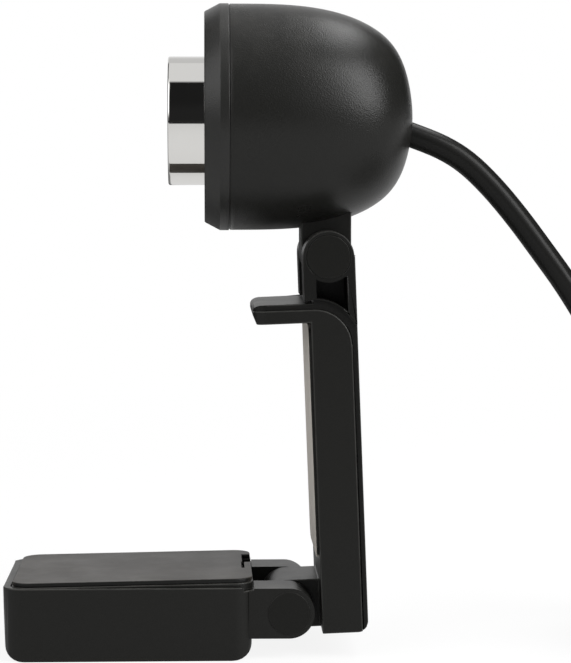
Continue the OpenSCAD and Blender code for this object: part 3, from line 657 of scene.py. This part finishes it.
def soften(node, radius, material, body, name, weld=0.05, left_sharp=None):
    """A copy of a node's solid with rounded edges, which stands for the node.

    weld joins corners closer than that, in millimetres. left_sharp(x, y, z) says which edges stay.
    """
    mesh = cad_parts[node].data.copy()
    mesh.name = name
    mesh.materials.clear()
    mesh.materials.append(material)
    work = bmesh.new()
    work.from_mesh(mesh)
    bmesh.ops.remove_doubles(work, verts=work.verts, dist=weld * MM)
    bmesh.ops.dissolve_degenerate(work, dist=weld * MM, edges=work.edges)
    bmesh.ops.dissolve_limit(work, angle_limit=FLAT, verts=work.verts, edges=work.edges,
                             delimit={"NORMAL"})
    weight = work.edges.layers.float.new("bevel_weight_edge")
    for edge in work.edges:
        middle = (edge.verts[0].co + edge.verts[1].co) / 2 / MM
        bends = len(edge.link_faces) == 2 and edge.calc_face_angle(0) > SHARP
        edge[weight] = float(bends and not (left_sharp and left_sharp(*middle)))
    work.to_mesh(mesh)
    work.free()
    for attribute in ("custom_normal", "sharp_edge"):
        if attribute in mesh.attributes:
            mesh.attributes.remove(mesh.attributes[attribute])
    piece = bpy.data.objects.new(name, mesh)
    bpy.context.scene.collection.objects.link(piece)
    bevel = piece.modifiers.new("round_edges", "BEVEL")
    bevel.width = radius
    bevel.segments = 3
    bevel.limit_method = "WEIGHT"
    bevel.use_clamp_overlap = False
    bevel.harden_normals = True
    bevel.material = 1
    finish_shading(piece, 50)
    mesh.materials.append(material)
    bpy.context.view_layer.update()
    settled = piece.evaluated_get(bpy.context.evaluated_depsgraph_get())
    piece.data = bpy.data.meshes.new_from_object(settled)
    piece.modifiers.clear()
    bpy.data.meshes.remove(mesh)
    # The bevel's own faces are marked, so that the paler edges of wear and painted highlight can
    # find them
    faces = piece.data.polygons
    rounded_faces = [float(face.material_index == 1) for face in faces]
    faces.foreach_set("material_index", [0] * len(faces))
    piece.data.materials.pop(index=1)
    piece.data.attributes.new("rounded", "FLOAT", "FACE").data.foreach_set("value", rounded_faces)
    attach(piece, body)
    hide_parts(node)
    return piece


# %% [markdown]
# The foot, the arm, the neck, the pads, the end caps and the plug are all rounded this way. Edges
# that are too small to round, or that the mould has rounded already, are left as they are.

# %% Rounded pieces
EDGE = 0.2 * MM
FINE_EDGE = 0.12 * MM
TIE_EDGE = 0.15 * MM


def below_the_rim(x, y, z):
    """On the foot's case only the upper rim is rounded; its corners are round already."""
    return z < 10.2 or x > 19.2 or (x < -19.3 and abs(y) > 11.2)


def by_the_window(x, y, z):
    """The strap's two side windows are small: their rims stay sharp, as does its tip on the lip."""
    return x < 22.0 or (26.6 < x < 34.0 and 51.5 < z < 60.0 and abs(y) > 5.0)


foot_case = soften("foot_shell", EDGE, stand_black, "foot", "foot_case", weld=0.14,
                   left_sharp=below_the_rim)
foot_top = soften("foot_lid", EDGE, stand_black, "foot", "foot_top")
foot_grip = soften("foot_pad", EDGE, pad_brown, "foot", "foot_grip")
front_bracket = soften("arm_bracket", EDGE, stand_black, "arm", "front_bracket")
rear_strap = soften("arm_strap", EDGE, strap_shaded_black, "arm", "rear_strap", left_sharp=by_the_window)
front_grip = soften("arm_pad", EDGE, pad_painted_sheen, "arm", "front_grip")
neck_post = soften("neck", EDGE, stand_black, "head", "neck_post")
for node, body, name in (("fold_caps", "foot", "fold_buttons"),
                         ("tilt_caps", "arm", "tilt_buttons")):
    soften(node, FINE_EDGE, cap_black, body, name)
plug_body = soften("plug_grip", EDGE, rubber_black, "head", "plug_body",
                   left_sharp=lambda x, y, z: z < 1)
plug_can = soften("plug_shell", FINE_EDGE, plug_nickel, "head", "plug_can")
lead_tie = soften("coil_tie", TIE_EDGE, rubber_black, "head", "lead_tie")
for piece, slot in ((foot_case, "stand_plastic"), (foot_top, "stand_plastic"),
                    (foot_grip, "pad_rubber"), (front_bracket, "stand_plastic"),
                    (rear_strap, "stand_plastic"), (front_grip, "pad_rubber"),
                    (neck_post, "stand_plastic"), (plug_body, "soft_black"),
                    (plug_can, "plug_metal"), (lead_tie, "soft_black")):
    print(f"{piece.name}: {len(piece.data.polygons)} faces")

# %% [markdown]
# ## Turned forms of the head
#
# The shell, the bezel, the ring, the hood, the barrel and its glass are all round. Their solids
# could be rounded like the other mouldings, but a bevel would keep their facets. So each is drawn
# again as half of its section, and swept about the axis in fine steps, which gives a smoother dome.

# %% Round the corners of a section
CORNER_STEPS = 6


def rounded(points):
    """Corner points (x, y, radius) as an outline with each corner rounded by its radius."""
    line = []
    for i, (x, y, radius) in enumerate(points):
        corner = Vector((x, y))
        before = Vector(points[i - 1][:2]) - corner
        after = Vector(points[(i + 1) % len(points)][:2]) - corner
        if radius <= 0 or before.length < 1e-9 or after.length < 1e-9:
            line.append(corner)
            continue
        half = before.angle(after) / 2
        reach = min(radius / math.tan(half), 0.49 * before.length, 0.49 * after.length)
        real = reach * math.tan(half)
        one_way, other_way = before.normalized(), after.normalized()
        centre = corner + (one_way + other_way).normalized() * (real / math.sin(half))
        start, end = corner + one_way * reach - centre, corner + other_way * reach - centre
        turn = start.angle_signed(end)
        for k in range(CORNER_STEPS + 1):
            a = -turn * k / CORNER_STEPS
            line.append(centre + Vector((start.x * math.cos(a) - start.y * math.sin(a),
                                         start.x * math.sin(a) + start.y * math.cos(a))))
    return line


print("a square with round corners:", len(rounded([(0, 0, 1), (4, 0, 1), (4, 4, 1), (0, 4, 1)])),
      "points")

# %% Sweep a section about the lens axis
SWEPT_SHARP = 35


def sweep(name, section, axis, material, body, node, steps=160):
    """Turns a closed section of (x, radius) points in millimetres about a level axis.

    axis is the axis height, or a function that gives it from x and the radius.
    """
    work = bmesh.new()
    rings = []
    for x, radius in section:
        height = axis(x, radius) if callable(axis) else axis
        if radius < 1e-6:
            rings.append([work.verts.new((x * MM, 0, height * MM))])
            continue
        angles = (2 * math.pi * k / steps for k in range(steps))
        rings.append([work.verts.new((x * MM, radius * MM * math.sin(a),
                                      (height + radius * math.cos(a)) * MM)) for a in angles])
    for first, second in zip(rings, rings[1:] + rings[:1]):
        if len(first) == 1 and len(second) == 1:
            continue
        for k in range(steps):
            n = (k + 1) % steps
            if len(first) == 1:
                work.faces.new((first[0], second[k], second[n]))
            elif len(second) == 1:
                work.faces.new((first[k], second[0], first[n]))
            else:
                work.faces.new((first[k], second[k], second[n], first[n]))
    bmesh.ops.recalc_face_normals(work, faces=work.faces)
    piece = placed(name, work)
    piece.data.materials.append(material)
    finish_shading(piece, SWEPT_SHARP)
    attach(piece, body)
    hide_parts(node)
    return piece


# %% [markdown]
# ### Rear shell
#
# The rear moulding starts as a cylinder at the seam and closes into a dome. Its outline could be
# three arcs, but their joints would show as creases in the reflections. One formula closes it
# without a joint. The shell is hollow, with an even wall.

# %% Rear shell
HEAD_Z = 84.6
SHELL_X0 = 16.2
SEAM_X = 15.94
HALF_SEAM = 0.06
DOME_X1 = 45.2
SHELL_R = 17.95
SHELL_WALL = 1.5


def dome_radius(x, inset=0.0):
    """Radius of the shell at x: nearly a cylinder at first, and closing ever faster.

    The first power closes the dome slowly along its length, and the second rounds off its back.
    """
    t = min(1.0, (x - SHELL_X0) / (DOME_X1 - inset - SHELL_X0))
    return (SHELL_R - inset) * max(0.0, 1 - 0.68 * t ** 3.25 - 0.32 * t ** 17) ** 0.637


def dome_line(inset, count):
    """The dome's half section in that many steps, closer together towards its back."""
    length = DOME_X1 - inset - SHELL_X0
    xs = [SHELL_X0 + math.sin(math.pi / 2 * i / count) * length for i in range(count)]
    return [(x, dome_radius(x, inset)) for x in xs] + [(DOME_X1 - inset, 0.0)]


outer = dome_line(0.0, 90)
inner = dome_line(SHELL_WALL, 60)
shell_x = SEAM_X + HALF_SEAM
lip = [(shell_x, SHELL_R - 0.12), (shell_x + 0.035, SHELL_R - 0.035),
       (shell_x + 0.12, SHELL_R - 0.002)]
shell_section = lip + [p for p in outer if p[0] > SHELL_X0 + 0.3] + inner[::-1]
rear_dome = sweep("rear_dome", shell_section, HEAD_Z, shell_black, "head", "rear_shell")
print("rear dome:", len(rear_dome.data.polygons), "faces")

# %% [markdown]
# ### Real holes
#
# The neck goes up into the shell through a slot, and the lead leaves the dome by a round hole. A
# dark patch could pass for a hole from far away, but a real one holds from every side. So a block
# and a rod are taken out of the mesh.

# %% Cutters
def drilled(piece, *cutters):
    """Takes the cutters' volume out of a piece for good, and removes the cutters."""
    for cutter in cutters:
        cut = piece.modifiers.new("cut", "BOOLEAN")
        cut.object = cutter
        cut.solver = "EXACT"
        cutter.hide_render = True
    bpy.context.view_layer.update()
    settled = piece.evaluated_get(bpy.context.evaluated_depsgraph_get())
    result = bpy.data.meshes.new_from_object(settled)
    piece.modifiers.clear()
    old = piece.data
    piece.data = result
    bpy.data.meshes.remove(old)
    for cutter in cutters:
        bpy.data.objects.remove(cutter)
    finish_shading(piece, SWEPT_SHARP)
    return piece


def rod(start, end, radius):
    """A round cutter between two points in millimetres."""
    return tube("rod", (start, end), radius * MM, 48)


def block(low, high):
    """A box cutter between two corners in millimetres."""
    work = bmesh.new()
    corners = [work.verts.new(Vector((x, y, z)) * MM) for x in (low[0], high[0])
               for y in (low[1], high[1]) for z in (low[2], high[2])]
    for face in ((0, 1, 3, 2), (4, 6, 7, 5), (0, 4, 5, 1), (2, 3, 7, 6), (0, 2, 6, 4),
                 (1, 5, 7, 3)):
        work.faces.new([corners[i] for i in face])
    bmesh.ops.recalc_face_normals(work, faces=work.faces)
    return placed("block", work)


# %% Slot for the neck and hole for the lead
TILT = (31.221, 62.776)
NECK_R = 3.95
NECK_HALF = 5.2
GAP = 0.05
INSIDE_SHELL_Z = 74
LEAD_EXIT = Vector((44.6, 0.0, 82.0))
EXIT_DROP = math.radians(17)
EXIT_HOLE_R = 2.12
exit_run = Vector((math.cos(EXIT_DROP), 0, -math.sin(EXIT_DROP)))
drilled(rear_dome,
        block((TILT[0] - NECK_R - GAP, -NECK_HALF - GAP, TILT[1]),
              (TILT[0] + NECK_R + GAP, NECK_HALF + GAP, INSIDE_SHELL_Z)),
        rod(LEAD_EXIT - 14 * exit_run, LEAD_EXIT + 8 * exit_run, EXIT_HOLE_R))
print("rear dome with its holes:", len(rear_dome.data.polygons), "faces")

# %% [markdown]
# ### Front bezel
#
# The bezel's front face has its large hole a little below the head's middle. It could be cut like
# the others, but one sweep can make it: the inner rings of the section are centred on the lens,
# the outer ones on the head.

# %% Front bezel
LENS_Z = 84.0
BEZEL_X = 12.0
SEAM_END = SEAM_X + HALF_SEAM - 0.02
SPIGOT_END = SHELL_X0 + 2.4
LIGHT_HOLE = (HEAD_Z + 13.6, 0.78)
MIC_HOLE = (HEAD_Z - 13.7, 0.5)


def bezel_axis(x, radius):
    return LENS_Z if radius < 11.5 else HEAD_Z


bezel_section = rounded([
    (BEZEL_X, 10.3, 0.15), (BEZEL_X, 12.6, 0), (BEZEL_X, 16.7, 0.35), (BEZEL_X + 2.45, 18.0, 0.5),
    (BEZEL_X + 3.4, 18.0, 0), (SEAM_X - HALF_SEAM, 18.0, 0.1), (SEAM_X - HALF_SEAM, 17.8, 0),
    (SEAM_END, 17.8, 0), (SEAM_END, 16.4, 0), (SPIGOT_END, 16.4, 0.2), (SPIGOT_END, 15.2, 0.2),
    (BEZEL_X + 2, 15.2, 0.3), (BEZEL_X + 2, 11.4, 0), (BEZEL_X + 1, 11.4, 0),
    (BEZEL_X + 1, 10.3, 0)])
head_front = sweep("head_front", bezel_section, bezel_axis, bezel_black, "head", "front_bezel")
drilled(head_front, *[rod((BEZEL_X - 2, 0, z), (BEZEL_X + 2.6, 0, z), radius)
                      for z, radius in (LIGHT_HOLE, MIC_HOLE)])
print("bezel:", len(head_front.data.polygons), "faces")

# %% [markdown]
# ### Chromed ring and hood
#
# The ring is plated plastic, turned by hand to focus. Its mirror shows every facet, so it has more
# steps than the other forms. The black hood inside it keeps side light off the lens with a row of
# steps. A plain cone would be simpler, and would shine.

# %% Chromed ring
RING_R = 10.2
RING_OUT = 5.73
RING_X = BEZEL_X - RING_OUT
BORE_R = 9.1
ring_section = rounded([
    (RING_X, 9.25, 0.12), (RING_X, RING_R, 0.3), (RING_X + 0.7, RING_R, 0), (BEZEL_X, RING_R, 0),
    (BEZEL_X + 1.1, RING_R, 0), (BEZEL_X + 1.1, 11.2, 0.1), (BEZEL_X + 1.9, 11.2, 0.1),
    (BEZEL_X + 1.9, 6.1, 0.1), (BEZEL_X + 0.4, 6.1, 0), (BEZEL_X + 0.4, BORE_R, 0),
    (RING_X + 0.2, BORE_R, 0.05)])
chrome_ring = sweep("chrome_ring", ring_section, LENS_Z, chrome, "focus_ring", "focus_ring",
                    steps=200)
print("ring:", len(chrome_ring.data.polygons), "faces")

# %% Hood
HOOD_STEPS = 5
STEP_LENGTH = 0.8
STEP_RISE = 0.75
THROAT_R = 5.1
hood_section = [(RING_X + 0.5, BORE_R, 0.1), (BEZEL_X + 0.4, BORE_R, 0), (BEZEL_X + 0.4, 6.3, 0),
                (BEZEL_X - 0.9, 6.3, 0), (BEZEL_X - 0.9, THROAT_R, 0.05)]
for i in range(HOOD_STEPS):
    step_x = BEZEL_X - 1.3 - STEP_LENGTH * i
    hood_section += [(step_x, THROAT_R + STEP_RISE * i, 0.08), (step_x, 5.85 + STEP_RISE * i, 0.08)]
inner_hood = sweep("inner_hood", rounded(hood_section), LENS_Z, lens_black, "focus_ring",
                   "lens_hood", steps=160)
print("hood:", len(inner_hood.data.polygons), "faces")

# %% [markdown]
# ### Lens barrel and its glass
#
# The barrel screws in and out of its holder. A true thread would be a helix, but its pitch is too
# fine to follow by eye, so a row of small ridges stands for it and stays a plain sweep. The front
# glass bulges forwards as a cap of a sphere, the rear glass backwards as a shallow bowl.

# %% Lens barrel
BARREL_X0 = 11.6
BARREL_X1 = 19.8
barrel_section = [(BARREL_X0, 4.6, 0.05), (BARREL_X0, 6.0, 0.15)]
THREAD_PITCH = 0.5
thread_x = BARREL_X0 + 1.6
while thread_x < BARREL_X1 - 1.0:
    barrel_section += [(thread_x, 6.0, 0), (thread_x + THREAD_PITCH / 2, 5.85, 0)]
    thread_x += THREAD_PITCH
barrel_section += [(BARREL_X1, 6.0, 0.1), (BARREL_X1, 3.0, 0.05), (BARREL_X1 - 1.8, 3.0, 0),
                   (BARREL_X1 - 1.8, 2.2, 0.05), (BARREL_X0 + 2.4, 2.2, 0.05),
                   (BARREL_X0 + 2.4, 3.9, 0), (BARREL_X0 + 0.8, 3.9, 0.05),
                   (BARREL_X0 + 0.8, 4.6, 0)]
barrel = sweep("barrel", rounded(barrel_section), LENS_Z, lens_black, "lens", "lens_barrel",
               steps=128)
print("barrel:", len(barrel.data.polygons), "faces")

# %% Glass
CROWN_HALF_ANGLE = math.radians(26)
CROWN_CURVE = 8.9
CROWN_STEPS = 24
FRONT_R = 3.88
crown_angles = [CROWN_HALF_ANGLE * (1 - i / CROWN_STEPS) for i in range(CROWN_STEPS + 1)]
crown = [(BARREL_X0 + 1.5 - CROWN_CURVE * (math.cos(a) - math.cos(CROWN_HALF_ANGLE)),
          FRONT_R * math.sin(a) / math.sin(CROWN_HALF_ANGLE)) for a in crown_angles]
front_rim = [(BARREL_X0 + 2.38, 0.0), (BARREL_X0 + 2.38, FRONT_R)]
front_lens = sweep("front_lens", front_rim + crown, LENS_Z, lens_glass, "lens", "front_glass",
                   steps=128)

REAR_R = 2.98
BOWL_R = 2.6
BOWL_DEPTH = 0.35
bowl_radii = [BOWL_R - 0.13 * k for k in range(20)]
bowl = [(BARREL_X1 - 0.6 + BOWL_DEPTH * (1 - (r / BOWL_R) ** 2), r) for r in bowl_radii]
rear_rim = [(BARREL_X1 - 1.78, 0.0), (BARREL_X1 - 1.78, REAR_R), (BARREL_X1 - 0.6, REAR_R)]
rear_lens = sweep("rear_lens", rear_rim + bowl + [(BARREL_X1 - 0.25, 0.0)], LENS_Z,
                  lens_glass, "lens", "rear_glass", steps=96)
for piece in (front_lens, rear_lens):
    print(f"{piece.name}: {len(piece.data.polygons)} faces")

# %% [markdown]
# ## What the camera holds inside
#
# The inner pieces keep the shapes of their solids: they could be rounded too, but nobody sees their
# edges. Each gets the finish of its own material, so that an opened or a see-through view reads as
# well as the outside.

# %% Finishes of the inner pieces
INNER = {
    "foot_weight": steel, "weight_screws": steel, "fold_pin": steel, "tilt_pin": steel,
    "arm_screws": steel, "ring_retainer": steel, "retainer_screws": steel, "board_screws": steel,
    "fold_washers": nylon_white, "tilt_washers": nylon_white, "board_socket": nylon_white,
    "light_pipe": clear_pipe, "status_led": clear_pipe, "ir_filter": filter_glass,
    "microphone": plug_nickel, "mic_boot": rubber_black, "cable_clamp": rubber_black,
    "main_board": board_green, "image_sensor": chip_black, "control_chip": chip_black,
    "lens_holder": lens_black, "core_wires": wire_red, "plug_tongue": chip_black,
    "plug_contacts": contact_gold,
}
for node, material in INNER.items():
    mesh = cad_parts[node].data
    mesh.materials.clear()
    mesh.materials.append(material)
print("inner pieces:", len(INNER))

# %% [markdown]
# ## The lead's finish
#
# On the real object the lead bends. Here it keeps one shape, and its tube takes the jacket's
# material.

lead.data.materials.append(jacket_black)
